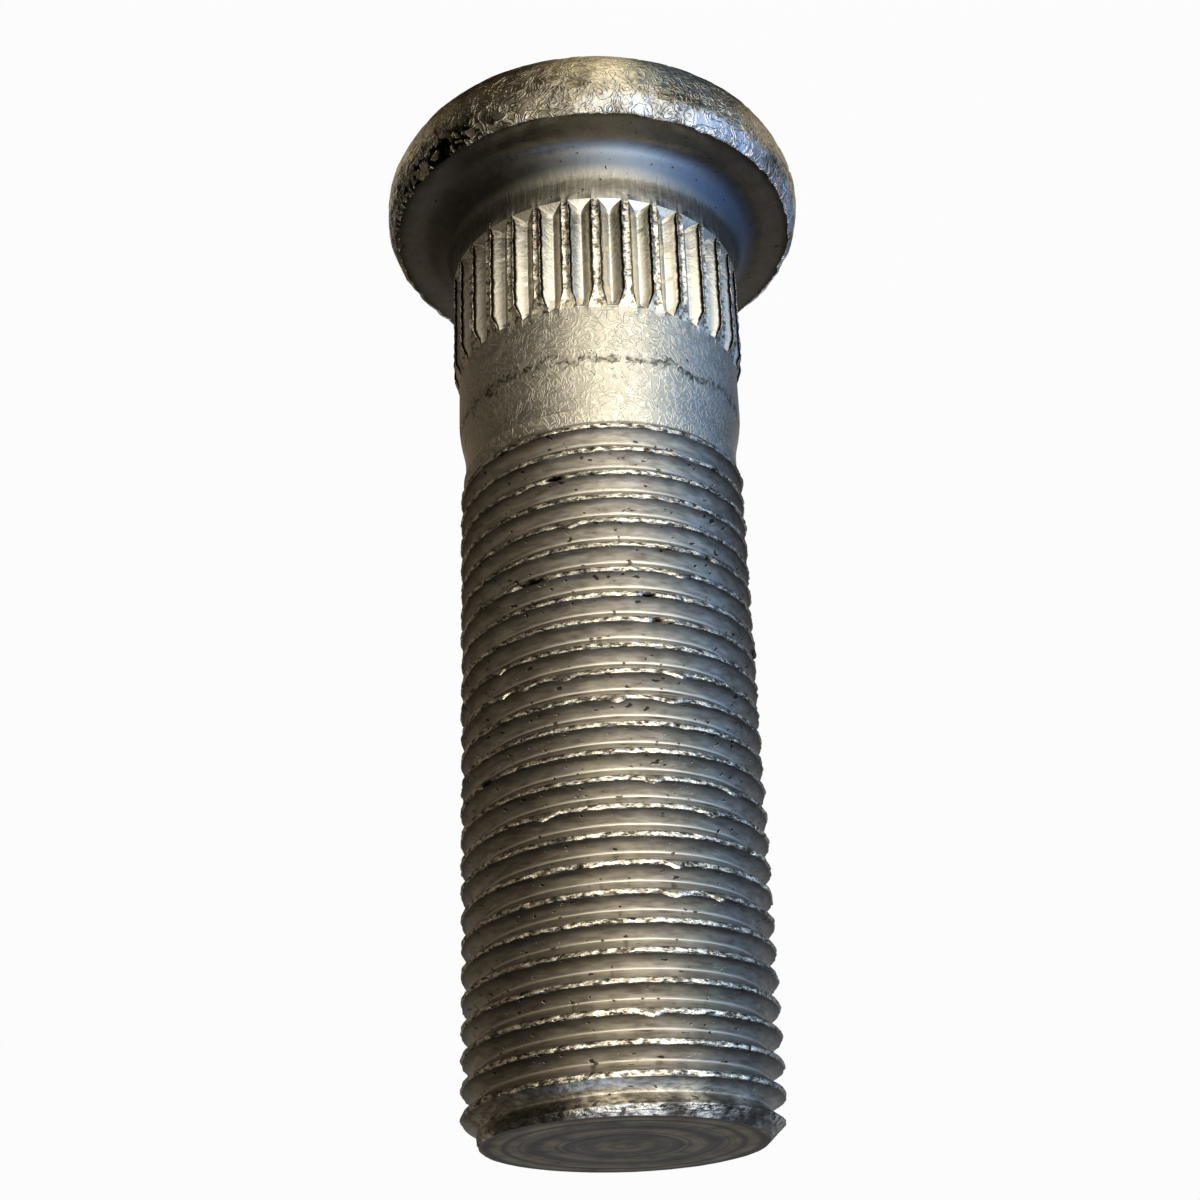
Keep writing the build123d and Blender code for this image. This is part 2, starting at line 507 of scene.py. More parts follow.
def fill(node, sockets):
    for name, value in sockets.items():
        if isinstance(value, bpy.types.Node):
            value = next(output for output in value.outputs if output.enabled)
        if isinstance(value, bpy.types.NodeSocket):
            node.id_data.links.new(value, node.inputs[name])
        else:
            node.inputs[name].default_value = value
    return node


def add(tree, kind, sockets=None, **options):
    made = tree.nodes.new("ShaderNode" + kind)
    for name, value in options.items():
        setattr(made, name, value)
    return fill(made, sockets or {})


def steel(name):
    material = bpy.data.materials.new(name)
    material.use_nodes = True
    tree = material.node_tree
    tree.nodes.clear()
    shader = add(tree, "BsdfPrincipled", {"Metallic": 1.0})
    add(tree, "OutputMaterial", {"Surface": shader})
    stud_mesh.materials.append(material)
    return tree, shader, add(tree, "TexCoord").outputs["Object"]


# %% [markdown]
# ## Forged head
#
# The head was struck hot, so its skin is wrinkled by the die and darkened by a thin scale, with a pale blue
# reflection painted along one side of the lip and black grease in one hollow of it. The wrinkles are too fine
# for the mesh. Folding a noise about its middle value draws curly ridges, which look more like forged skin
# than plain noise does; the ridges are worn and painted lighter as glints. A threshold of another noise gives
# the specks.

# %% Forged steel with scale: warm grey, worn and painted with glints along curly wrinkles, that goes dull in its hollows
tree, shader, place = steel("forged_steel_scale")
wrinkle = add(tree, "TexNoise", {"Vector": place, "Scale": 1 / (1.0 * mm), "Detail": 2, "Distortion": 2.2})
middle = add(tree, "Math", {0: wrinkle, 1: 0.5}, operation="SUBTRACT")
fold = add(tree, "Math", {0: middle}, operation="ABSOLUTE")
ridge = add(tree, "MapRange", {"Value": fold, "From Max": 0.09, "To Min": 1.0, "To Max": 0.0})
blotch = add(tree, "TexNoise", {"Vector": place, "Scale": 1 / (2.8 * mm), "Detail": 4, "Roughness": 0.65})
tone = add(tree, "MapRange", {"Value": blotch, "From Min": 0.35, "From Max": 0.65})
scale = add(tree, "Mix", {0: tone, 6: linear("#6f6757"), 7: linear("#d2c7ae")}, data_type="RGBA")
# The ridges are worn and painted lighter as glints along the wrinkles
worn = add(tree, "MapRange", {"Value": ridge, "To Max": 0.5})
lit = add(tree, "Mix", {0: worn, 6: scale, 7: linear("#d4ccbb")}, data_type="RGBA")
grit = add(tree, "TexNoise", {"Vector": place, "Scale": 1 / (0.38 * mm), "Detail": 2})
speck = add(tree, "MapRange", {"Value": grit, "From Min": 0.66, "From Max": 0.73, "To Max": 0.8})
pitted = add(tree, "Mix", {0: speck, 6: lit, 7: linear("#2a241c")}, data_type="RGBA")
print(tree.nodes[0].name, "and", len(tree.nodes) - 1, "more nodes so far")

# %% Black grease along one side of the lip
side = add(tree, "VectorMath", {0: place, 1: (0.82, -0.57, 0)}, operation="DOT_PRODUCT")
aside = add(tree, "MapRange", {"Value": side, "From Min": 7.5 * mm, "From Max": 11 * mm})
height = add(tree, "SeparateXYZ", {"Vector": place})
grease_z, lip_z = 3.2 * mm, 4.8 * mm
near_lip = add(tree, "MapRange", {"Value": height.outputs["Z"], "From Min": grease_z, "From Max": lip_z})
patch = add(tree, "MapRange", {"Value": wrinkle, "From Min": 0.40, "From Max": 0.50})
where = add(tree, "Math", {0: aside, 1: near_lip}, operation="MULTIPLY")
grease = add(tree, "Math", {0: where, 1: patch}, operation="MULTIPLY")
skin = add(tree, "Mix", {0: grease, 6: pitted, 7: linear("#100d09")}, data_type="RGBA")
print("grease on the lip, from", round(grease_z / mm, 1), "mm up")

# %% A pale blue reflection painted in patches on the rest of the lip
on_lip = add(tree, "MapRange", {"Value": height.outputs["Z"], "From Min": belt_z * mm, "From Max": lip_z})
# These patches are a pale blue reflection painted on the lip
rubbed = add(tree, "MapRange", {"Value": blotch, "From Min": 0.40, "From Max": 0.54, "To Max": 0.95})
cool_side = add(
    tree, "MapRange", {"Value": side, "From Min": 2 * mm, "From Max": 8 * mm, "To Min": 1.0, "To Max": 0.0}
)
patch = add(tree, "Math", {0: on_lip, 1: rubbed}, operation="MULTIPLY")
lip_reflection = add(tree, "Math", {0: patch, 1: cool_side}, operation="MULTIPLY")
lip = add(tree, "Mix", {0: lip_reflection, 6: skin, 7: linear("#dde3ec")}, data_type="RGBA")
dull = add(tree, "MapRange", {"Value": blotch, "To Min": 0.14, "To Max": 0.32})
relief = add(tree, "Math", {0: ridge, 1: 0.5, 2: wrinkle}, operation="MULTIPLY_ADD")
bump = add(tree, "Bump", {"Height": relief, "Strength": 1.0, "Distance": 0.09 * mm})
fill(shader, {"Base Color": lip, "Roughness": dull, "Normal": bump})
print("forged_steel_scale:", len(tree.nodes), "nodes")

# %% [markdown]
# ## Pressed seat, fillet and collar
#
# The underside of the head was pressed smooth against the die. Near the head it keeps a dark film of scale,
# with a painted shadow under the lip. A blue reflection is painted on one side of the fillet, and the collar
# is brighter, with fine scratches along the stud. Film, shadow, blue and scratches are mixed in by place, and
# the scratches come from a noise that is stretched along the axis.

# %% Pressed steel: smooth and satin, dark under the head, a painted blue reflection in the fillet and brighter along the collar
tree, shader, place = steel("pressed_steel_seat")
grain = add(tree, "TexNoise", {"Vector": place, "Scale": 1 / (0.9 * mm), "Detail": 4, "Roughness": 0.6})
film = add(tree, "Mix", {0: grain, 6: linear("#413d37"), 7: linear("#635f59")}, data_type="RGBA")
stretch = add(tree, "Mapping", {"Vector": place, "Scale": (1 / (0.16 * mm), 1 / (0.16 * mm), 1 / (2.2 * mm))})
scratch = add(tree, "TexNoise", {"Vector": stretch, "Scale": 1.0, "Detail": 2})
drawn = add(tree, "Mix", {0: scratch, 6: linear("#8d877b"), 7: linear("#d8d1c2")}, data_type="RGBA")
height = add(tree, "SeparateXYZ", {"Vector": place})
inner = add(tree, "MapRange", {"Value": height.outputs["Z"], "From Min": 5.62 * mm, "From Max": 6.0 * mm})
# A blue reflection is painted on one side of the fillet
one_side = add(tree, "MapRange", {"Value": height.outputs["X"], "From Min": 4 * mm, "From Max": -4 * mm})
blue_side = add(tree, "Math", {0: inner, 1: one_side}, operation="MULTIPLY")
painted_blue_reflection = add(tree, "Mix", {0: blue_side, 6: film, 7: linear("#7a8593")}, data_type="RGBA")
along = add(tree, "MapRange", {"Value": height.outputs["Z"], "From Min": 6.5 * mm, "From Max": 7.4 * mm})
tone = add(tree, "Mix", {0: along, 6: painted_blue_reflection, 7: drawn}, data_type="RGBA")
grit = add(tree, "TexNoise", {"Vector": place, "Scale": 1 / (0.3 * mm), "Detail": 2})
speck = add(tree, "MapRange", {"Value": grit, "From Min": 0.68, "From Max": 0.74})
seat = add(tree, "Mix", {0: speck, 6: tone, 7: linear("#2e2820")}, data_type="RGBA")
flat = add(tree, "Mapping", {"Vector": place, "Scale": (1, 1, 0)})
reach = add(tree, "VectorMath", {0: flat}, operation="LENGTH")
# A painted shadow darkens the seat's outer edge under the lip
rim = add(tree, "MapRange", {"Value": reach, "From Min": 11.2 * mm, "From Max": 11.6 * mm})
uneven = add(tree, "MapRange", {"Value": grain, "From Min": 0.3, "From Max": 0.55, "To Max": 0.8})
shadow_under_lip = add(tree, "Math", {0: rim, 1: uneven}, operation="MULTIPLY")
shadowed_seat = add(tree, "Mix", {0: shadow_under_lip, 6: seat, 7: linear("#15110d")}, data_type="RGBA")
satin = add(tree, "MapRange", {"Value": grain, "To Min": 0.2, "To Max": 0.38})
relief = add(tree, "Math", {0: scratch, 1: along, 2: grain}, operation="MULTIPLY_ADD")
bump = add(tree, "Bump", {"Height": relief, "Strength": 0.7, "Distance": 0.03 * mm})
fill(shader, {"Base Color": shadowed_seat, "Roughness": satin, "Normal": bump})
print("pressed_steel_seat:", len(tree.nodes), "nodes")

# %% [markdown]
# ## Serrations
#
# The die tears the lands, which get painted glints between dark pits, and a black line of painted shade runs
# along their edges. The groove walls are rubbed, and a bright line is painted along the bottom of each groove
# as its highlight. Which vertices lie on a land or in a bottom was kept in the mesh while the grooves were
# pressed, and the material reads those two attributes.

# %% Rolled serration steel: rough lands with painted glints, plain pale walls and a painted highlight line in each groove
tree, shader, place = steel("rolled_serration_steel")
land = add(tree, "Attribute", attribute_name="land")
bottom = add(tree, "Attribute", attribute_name="valley")
grain = add(tree, "TexNoise", {"Vector": place, "Scale": 1 / (0.5 * mm), "Detail": 3, "Distortion": 1.2})
wall = add(tree, "Mix", {0: grain, 6: linear("#bfb7a6"), 7: linear("#f1e9d8")}, data_type="RGBA")
grit = add(tree, "TexNoise", {"Vector": place, "Scale": 1 / (0.24 * mm), "Detail": 2})
# Painted glints on the torn lands
painted_glint = add(tree, "MapRange", {"Value": grit, "From Min": 0.36, "From Max": 0.54})
torn = add(tree, "Mix", {0: painted_glint, 6: linear("#7d725e"), 7: linear("#fff4de")}, data_type="RGBA")
tone = add(tree, "Mix", {0: land.outputs["Fac"], 6: wall, 7: torn}, data_type="RGBA")
# A bright line painted along the bottom of each groove stands in for its highlight
painted_groove_highlight = add(tree, "MapRange", {"Value": bottom.outputs["Fac"], "From Min": 0.82, "From Max": 0.96})
shiny = add(tree, "Mix", {0: painted_groove_highlight, 6: tone, 7: linear("#f4eee0")}, data_type="RGBA")
hole = add(tree, "MapRange", {"Value": grit, "From Min": 0.67, "From Max": 0.73, "To Max": 0.8})
edge = add(tree, "MapRange", {"Value": land.outputs["Fac"], "From Min": 0.35, "From Max": 0.75})
hollow = add(tree, "Math", {0: hole, 1: edge}, operation="MULTIPLY")
# A black line of painted shade runs along each land's edge
from_edge = add(tree, "Math", {0: land.outputs["Fac"], 1: 0.55}, operation="SUBTRACT")
off_edge = add(tree, "Math", {0: from_edge}, operation="ABSOLUTE")
shade_line_width = add(
    tree, "MapRange", {"Value": grain, "From Min": 0.3, "From Max": 0.7, "To Min": 0.25, "To Max": 0.45}
)
drawn = add(
    tree, "MapRange", {"Value": off_edge, "From Min": 0.2, "From Max": shade_line_width, "To Min": 1.0, "To Max": 0.0}
)
height = add(tree, "SeparateXYZ", {"Vector": place})
# The grooves grow darker towards the head end
darker_to_head_end = add(
    tree, "MapRange",
    {"Value": height.outputs["Z"], "From Min": 9.0 * mm, "From Max": 9.5 * mm, "To Min": 0.25, "To Max": 0.0},
)
lined = add(tree, "Math", {0: drawn, 1: darker_to_head_end}, operation="MAXIMUM")
# Pits and the painted shade lines darken the serrations together
pit = add(tree, "Math", {0: hollow, 1: lined}, operation="MAXIMUM")
serration = add(tree, "Mix", {0: pit, 6: shiny, 7: linear("#17110b")}, data_type="RGBA")
rough = add(tree, "MapRange", {"Value": grain, "To Min": 0.16, "To Max": 0.32})
rasp = add(tree, "Math", {0: grit, 1: edge}, operation="MULTIPLY")
coarse = add(tree, "Math", {0: rasp, 1: 1.5, 2: grain}, operation="MULTIPLY_ADD")
relief = add(tree, "Math", {0: pit, 1: -0.6, 2: coarse}, operation="MULTIPLY_ADD")
bump = add(tree, "Bump", {"Height": relief, "Strength": 1.0, "Distance": 0.02 * mm})
fill(shader, {"Base Color": serration, "Roughness": rough, "Normal": bump})
print("rolled_serration_steel:", len(tree.nodes), "nodes")

# %% [markdown]
# ## Pilot and neck
#
# Between serrations and thread the bar keeps the crinkled skin that shot blasting gave it. A dark, crooked
# line runs round it where the pilot begins to taper, with pits beside it. The crinkle is a folded noise
# again, finer than on the head, and the line is a narrow range of heights that noises bend and break.

# %% Blasted steel: pale and satin, covered with fine wiry crinkles
tree, shader, place = steel("blasted_steel_pilot")
fine = 0.72 * mm
crinkle = add(tree, "TexNoise", {"Vector": place, "Scale": 1 / fine, "Detail": 1, "Distortion": 2.4})
middle = add(tree, "Math", {0: crinkle, 1: 0.5}, operation="SUBTRACT")
fold = add(tree, "Math", {0: middle}, operation="ABSOLUTE")
wire = add(tree, "MapRange", {"Value": fold, "From Max": 0.08, "To Min": 1.0, "To Max": 0.0})
blotch = add(tree, "TexNoise", {"Vector": place, "Scale": 1 / (1.6 * mm), "Detail": 4, "Roughness": 0.6})
skin = add(tree, "Mix", {0: blotch, 6: linear("#aea797"), 7: linear("#d9d2c2")}, data_type="RGBA")
tone = add(tree, "Mix", {0: wire, 6: skin, 7: linear("#e3dccb")}, data_type="RGBA")
print("crinkle width:", round(fine / mm, 2), "mm")

# %% The dark line and its pits
height = add(tree, "SeparateXYZ", {"Vector": place})
sway = add(tree, "Math", {0: blotch, 1: 1.6 * mm, 2: 17.8 * mm}, operation="MULTIPLY_ADD")
bend = add(tree, "Math", {0: crinkle, 1: 0.8 * mm, 2: sway}, operation="MULTIPLY_ADD")
away = add(tree, "Math", {0: height.outputs["Z"], 1: bend}, operation="SUBTRACT")
apart = add(tree, "Math", {0: away}, operation="ABSOLUTE")
line = add(
    tree, "MapRange",
    {"Value": apart, "From Min": 0.04 * mm, "From Max": 0.32 * mm, "To Min": 1.0, "To Max": 0.0},
)
close = add(
    tree, "MapRange",
    {"Value": apart, "From Min": 0.2 * mm, "From Max": 1.8 * mm, "To Min": 0.09, "To Max": 0.0},
)
grit = add(tree, "TexNoise", {"Vector": place, "Scale": 1 / (0.55 * mm), "Detail": 2, "Distortion": 1.6})
chance = add(tree, "Math", {0: grit, 1: close}, operation="ADD")
pit = add(tree, "MapRange", {"Value": chance, "From Min": 0.73, "From Max": 0.78, "To Max": 0.85})
broken = add(tree, "MapRange", {"Value": grit, "From Min": 0.36, "From Max": 0.56, "To Max": 0.85})
dark = add(tree, "Math", {0: line, 1: broken}, operation="MULTIPLY")
mark = add(tree, "Math", {0: dark, 1: pit}, operation="MAXIMUM")
pilot = add(tree, "Mix", {0: mark, 6: tone, 7: linear("#2b241b")}, data_type="RGBA")
satin = add(tree, "MapRange", {"Value": blotch, "To Min": 0.22, "To Max": 0.32})
raised = add(tree, "Math", {0: mark, 1: -1.2, 2: wire}, operation="MULTIPLY_ADD")
bump = add(tree, "Bump", {"Height": raised, "Strength": 0.8, "Distance": 0.017 * mm})
fill(shader, {"Base Color": pilot, "Roughness": satin, "Normal": bump})
print("blasted_steel_pilot:", len(tree.nodes), "nodes")

# %% [markdown]
# ## Rolled thread
#
# Rolling burnishes the flanks to a smooth satin. A bright line painted along the root stands in for its
# highlight, and shade is painted below the crests. The crests themselves are rough, with painted glints and
# rubbed stretches, and so is the bruised chamfer at the tip. The mesh keeps the places along the helix as
# attributes, so that each colour follows it exactly, which a pattern in space could not do.

# %% Rolled thread steel: satin grey flanks with painted shade below the crests, a painted highlight on the root and rough crests with painted glints
tree, shader, place = steel("rolled_thread_steel")
crest = add(tree, "Attribute", attribute_name="crest")
shade = add(tree, "Attribute", attribute_name="shade")
root = add(tree, "Attribute", attribute_name="root")
long_side, thin_side = 1.1 * mm, 0.16 * mm
rolled = add(tree, "Mapping", {"Vector": place, "Scale": (1 / long_side, 1 / long_side, 1 / thin_side)})
streak = add(tree, "TexNoise", {"Vector": rolled, "Scale": 1.0, "Detail": 4, "Roughness": 0.6})
long = add(tree, "MapRange", {"Value": streak, "From Min": 0.32, "From Max": 0.66})
flank = add(tree, "Mix", {0: long, 6: linear("#8b857c"), 7: linear("#c8c2b6")}, data_type="RGBA")
# Painted shade below the crests, read from the mesh's shade attribute
painted_shade = add(tree, "MapRange", {"Value": shade.outputs["Fac"], "From Min": 0.2, "To Max": 0.85})
shaded_flank = add(tree, "Mix", {0: painted_shade, 6: flank, 7: linear("#3a342b")}, data_type="RGBA")
# A bright line painted along the root stands in for the root's highlight
painted_root_highlight = add(tree, "MapRange", {"Value": root.outputs["Fac"], "From Min": 0.45, "From Max": 0.8})
bright = add(tree, "Mix", {0: painted_root_highlight, 6: shaded_flank, 7: linear("#cdc7ba")}, data_type="RGBA")
torn = add(tree, "Mapping", {"Vector": place, "Scale": (1 / (0.4 * mm), 1 / (0.4 * mm), 1 / (0.18 * mm))})
grit = add(tree, "TexNoise", {"Vector": torn, "Scale": 1.0, "Detail": 3, "Roughness": 0.55})
# The crests' brightness is painted glints: a noise picks bright and dark specks
painted_glint = add(tree, "MapRange", {"Value": grit, "From Min": 0.38, "From Max": 0.6})
crest_glints = add(tree, "Mix", {0: painted_glint, 6: linear("#4c453a"), 7: linear("#fff6e2")}, data_type="RGBA")
stretch = add(tree, "TexNoise", {"Vector": place, "Scale": 1 / (2.2 * mm), "Detail": 2})
rubbed = add(tree, "MapRange", {"Value": stretch, "From Min": 0.46, "From Max": 0.62, "To Max": 0.5})
patchy = add(tree, "Mix", {0: rubbed, 6: crest_glints, 7: linear("#6b6458")}, data_type="RGBA")
height = add(tree, "SeparateXYZ", {"Vector": place})
low_end = add(tree, "MapRange", {"Value": height.outputs["Z"], "From Min": 56.9 * mm, "From Max": 58.2 * mm})
# The chamfer takes the crests' painted glints too
chamfer_glints = add(tree, "Math", {0: low_end, 1: 0.6}, operation="MULTIPLY")
ragged = add(tree, "Math", {0: crest.outputs["Fac"], 1: chamfer_glints}, operation="MAXIMUM")
tone = add(tree, "Mix", {0: ragged, 6: bright, 7: patchy}, data_type="RGBA")
print("streaks across:", round(thin_side / mm, 2), "mm")

# %% Pits on the flanks and crests, and the bruised chamfer
pitting = add(tree, "Mapping", {"Vector": place, "Scale": (1 / (0.45 * mm), 1 / (0.45 * mm), 1 / (0.2 * mm))})
holes = add(tree, "TexNoise", {"Vector": pitting, "Scale": 1.0, "Detail": 1})
more = add(tree, "Math", {0: crest.outputs["Fac"], 1: 0.03, 2: holes}, operation="MULTIPLY_ADD")
pit = add(tree, "MapRange", {"Value": more, "From Min": 0.69, "From Max": 0.73, "To Max": 0.85})
smear = add(tree, "MapRange", {"Value": stretch, "From Min": 0.44, "From Max": 0.6, "To Max": 0.75})
bruise = add(tree, "Math", {0: low_end, 1: smear}, operation="MULTIPLY")
mark = add(tree, "Math", {0: pit, 1: bruise}, operation="MAXIMUM")
thread_tone = add(tree, "Mix", {0: mark, 6: tone, 7: linear("#26211a")}, data_type="RGBA")
rough = add(tree, "MapRange", {"Value": crest.outputs["Fac"], "To Min": 0.3, "To Max": 0.22})
jagged = add(tree, "Math", {0: grit, 1: ragged}, operation="MULTIPLY")
lined = add(tree, "Math", {0: streak, 1: 0.07, 2: jagged}, operation="MULTIPLY_ADD")
relief = add(tree, "Math", {0: mark, 1: -0.25, 2: lined}, operation="MULTIPLY_ADD")
bump = add(tree, "Bump", {"Height": relief, "Strength": 1.0, "Distance": 0.12 * mm})
fill(shader, {"Base Color": thread_tone, "Roughness": rough, "Normal": bump})
print("rolled_thread_steel:", len(tree.nodes), "nodes")

# %% [markdown]
# ## Turned end
#
# The end was faced on a lathe and is dirty now. A noise that only follows the distance from the axis draws
# tool marks of uneven width and depth, where a wave texture would repeat itself, and a second noise lays
# grime over them in patches.

# %% Turned steel: dark and satin, with uneven rings
tree, shader, place = steel("turned_steel_end")
sway = add(tree, "TexNoise", {"Vector": place, "Scale": 1 / (4 * mm), "Detail": 1})
flat = add(tree, "Mapping", {"Vector": place, "Scale": (1, 1, 0)})
reach = add(tree, "VectorMath", {0: flat}, operation="LENGTH")
bent = add(tree, "Math", {0: sway, 1: 0.6 * mm, 2: reach}, operation="MULTIPLY_ADD")
rings = add(
    tree, "TexNoise",
    {"W": bent, "Scale": 1 / (0.85 * mm), "Detail": 2, "Roughness": 0.6},
    noise_dimensions="1D",
)
grime = add(tree, "TexNoise", {"Vector": place, "Scale": 1 / (1.5 * mm), "Detail": 4, "Roughness": 0.65})
groove = add(tree, "MapRange", {"Value": rings, "From Min": 0.42, "From Max": 0.58})
cut = add(tree, "Mix", {0: groove, 6: linear("#382d21"), 7: linear("#877659")}, data_type="RGBA")
film = add(tree, "MapRange", {"Value": grime, "From Min": 0.4, "From Max": 0.66, "To Max": 0.8})
end_tone = add(tree, "Mix", {0: film, 6: cut, 7: linear("#33291d")}, data_type="RGBA")
satin = add(tree, "MapRange", {"Value": grime, "To Min": 0.3, "To Max": 0.5})
bump = add(tree, "Bump", {"Height": rings, "Strength": 0.8, "Distance": 0.12 * mm})
fill(shader, {"Base Color": end_tone, "Roughness": satin, "Normal": bump})
print("turned_steel_end:", len(tree.nodes), "nodes")

# %% [markdown]
# ## Floor
#
# The stud stands on white paper that fills the picture. Most of the paper's brightness is a glow that only
# the camera and reflections see, so the paper is white without more light on the steel, and the rest is a
# plain matt surface that takes the stud's shadow.

# %% White paper floor
floor_mesh = bpy.data.meshes.new("floor")
floor_shape = bmesh.new()
bmesh.ops.create_grid(floor_shape, x_segments=1, y_segments=1, size=3.0)
floor_shape.to_mesh(floor_mesh)
floor_shape.free()
floor = bpy.data.objects.new("floor", floor_mesh)
bpy.context.scene.collection.objects.link(floor)
floor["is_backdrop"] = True
paper = bpy.data.materials.new("white_paper")
paper.use_nodes = True
tree = paper.node_tree
tree.nodes.clear()
path = add(tree, "LightPath")
seen = add(
    tree, "Math", {0: path.outputs["Is Camera Ray"], 1: path.outputs["Is Glossy Ray"]}, operation="MAXIMUM"
)
through = add(tree, "Math", {0: seen, 1: path.outputs["Is Transmission Ray"]}, operation="MAXIMUM")
glow_share = 0.97
share = add(tree, "Math", {0: through, 1: glow_share}, operation="MULTIPLY")
matt = add(tree, "BsdfDiffuse", {"Color": linear("#f2f1ee")})
glow = add(tree, "Emission", {"Color": (1, 1, 1, 1), "Strength": 1.0})
mixed = add(tree, "MixShader", {0: share, 1: matt, 2: glow})
add(tree, "OutputMaterial", {"Surface": mixed})
floor_mesh.materials.append(paper)
print("floor:", [round(side, 1) for side in floor.dimensions], "m")

# %% [markdown]
# ## Light tent
#
# Bare steel shows its surroundings more than its own colour. On a white floor alone it would look flat and
# pale, so a glowing tent stands round it and paints the reflections: bright in front, brown on one side, cool
# on the other.
# Only reflections see the tent. One spun sheet with a colour ramp round its axis gives soft changes from tone
# to tone, where separate cards would show their edges in the polished steel.

# %% Tent sheet
# In mm: the hole round the head, the wall's radius and height, and the gap above the floor
hole_radius, tent_radius, tent_height, tent_lift = 8.6, 36, 110, 0.15
tent_shape = bmesh.new()
tent_outline = [(hole_radius, tent_lift), (tent_radius, tent_lift), (tent_radius, tent_height)]
corners = [tent_shape.verts.new((r * mm, 0, z * mm)) for r, z in tent_outline]
rail = [tent_shape.edges.new(pair) for pair in zip(corners, corners[1:])]
bmesh.ops.spin(
    tent_shape, geom=corners + rail, cent=(0, 0, 0), axis=(0, 0, 1), dvec=(0, 0, 0),
    angle=math.tau, steps=72, use_merge=True,
)
bmesh.ops.remove_doubles(tent_shape, verts=tent_shape.verts, dist=0.01 * mm)
tent_mesh = bpy.data.meshes.new("tent")
tent_shape.to_mesh(tent_mesh)
tent_shape.free()
tent = bpy.data.objects.new("tent", tent_mesh)
bpy.context.scene.collection.objects.link(tent)
tent.visible_camera = tent.visible_diffuse = tent.visible_shadow = tent.visible_transmission = False
tent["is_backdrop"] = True
print("tent:", [round(side / mm) for side in tent.dimensions], "mm")

# %% Tent tones
# Degrees from the front towards -X, and the colour that the tent glows with there, low down and near the top
low_tones = [
    (-180, "#7a7671"), (-165, "#635e58"), (-150, "#453e35"), (-130, "#3b352e"), (-110, "#312d26"),
    (-90, "#2c2823"), (-70, "#2e2a25"), (-50, "#3f3c37"), (-30, "#636059"), (-10, "#9f9d93"),
    (10, "#ceccc4"), (30, "#cbcbc7"), (50, "#8c98a5"), (70, "#61728c"), (90, "#485b76"),
    (110, "#3d485b"), (130, "#343c48"), (150, "#464646"), (165, "#66635e"), (180, "#7a7671"),
]
high_tones = [
    (-180, "#525355"), (-150, "#413d37"), (-125, "#37312a"), (-110, "#37332d"), (-90, "#3d3931"),
    (-66, "#4f4840"), (-40, "#787267"), (-13, "#c3bfb3"), (13, "#fffaf0"), (40, "#e9ecf0"),
    (66, "#94a4b4"), (90, "#697f9b"), (110, "#4a596e"), (130, "#3d4552"), (155, "#46484a"),
    (180, "#525355"),
]
tent_glow = bpy.data.materials.new("glowing_tent")
tent_glow.use_nodes = True
tree = tent_glow.node_tree
tree.nodes.clear()
place = add(tree, "TexCoord").outputs["Object"]
# The mapping turns the front to the middle of the ramp, so that the ramp's ends meet behind the stud
plan = add(tree, "Mapping", {"Vector": place, "Scale": (1, -1, 0), "Rotation": (0, 0, math.radians(-90))})
around = add(tree, "TexGradient", {"Vector": plan}, gradient_type="RADIAL")
print("tones:", len(low_tones), "low and", len(high_tones), "high")

# %% Paint the tent
# Steel close to the floor mirrors a narrower part of it, so the tones crowd together near the stud
reach = add(tree, "VectorMath", {0: plan}, operation="LENGTH")
inside = add(
    tree, "MapRange", {"Value": reach, "From Min": 16 * mm, "From Max": 21 * mm, "To Min": 2.8, "To Max": 1.0}
)
outside = add(
    tree, "MapRange", {"Value": reach, "From Min": 33 * mm, "From Max": tent_radius * mm, "To Max": 0.05}
)
crowd = add(tree, "Math", {0: inside, 1: outside}, operation="ADD")
turned = add(tree, "Math", {0: around.outputs["Fac"], 1: 0.5}, operation="SUBTRACT")
spread = add(tree, "Math", {0: turned, 1: crowd, 2: 0.5}, operation="MULTIPLY_ADD")
painted = []
for tones in (low_tones, high_tones):
    ramp = add(tree, "ValToRGB", {"Fac": spread})
    stops = ramp.color_ramp.elements
    stops[0].color, stops[1].color = linear(tones[0][1]), linear(tones[-1][1])
    for degrees, code in tones[1:-1]:
        stops.new((degrees + 180) / 360).color = linear(code)
    painted.append(ramp)
height = add(tree, "SeparateXYZ", {"Vector": place})
up = add(tree, "MapRange", {"Value": height.outputs["Z"], "From Min": 36 * mm, "From Max": 44 * mm})
sheet = add(tree, "Mix", {0: up, 6: painted[0], 7: painted[1]}, data_type="RGBA")
# Rings on the tent's floor, by their radius in mm: the forged rim mirrors the inner ones
near_tones = [
    (9.5, "#6d665b"), (11.3, "#8d8476"), (12.6, "#f3e9d2"), (14, "#fff9ea"), (16, "#fbf8f0"),
    (17.8, "#a3a4a6"), (20, "#b4b5b7"), (23, "#ffffff"),
]
near = add(tree, "MapRange", {"Value": reach, "From Max": tent_radius * mm})
floor_ramp = add(tree, "ValToRGB", {"Fac": near})
stops = floor_ramp.color_ramp.elements
stops[0].color, stops[1].color = linear(near_tones[0][1]), linear(near_tones[-1][1])
for radius, code in near_tones:
    stops.new(radius / tent_radius).color = linear(code)
dyed = add(tree, "Mix", {0: 1.0, 6: sheet, 7: floor_ramp}, data_type="RGBA", blend_type="MULTIPLY")
# The tent glows without being a lamp, and its glow paints the reflections in the steel
glow = add(tree, "Emission", {"Color": dyed, "Strength": 3.2})
add(tree, "OutputMaterial", {"Surface": glow})
tent_mesh.materials.append(tent_glow)
print("tent material:", len(tree.nodes), "nodes")

# %% [markdown]
# ## Lamp and room
#
# One large cool softbox hangs over the open top of the tent. The upper flanks of the thread and the fillet
# under the head lean that way and show it. The room behind it is a dim brown grey, and only the camera sees
# it as white, so that the picture has no dark horizon from any side.

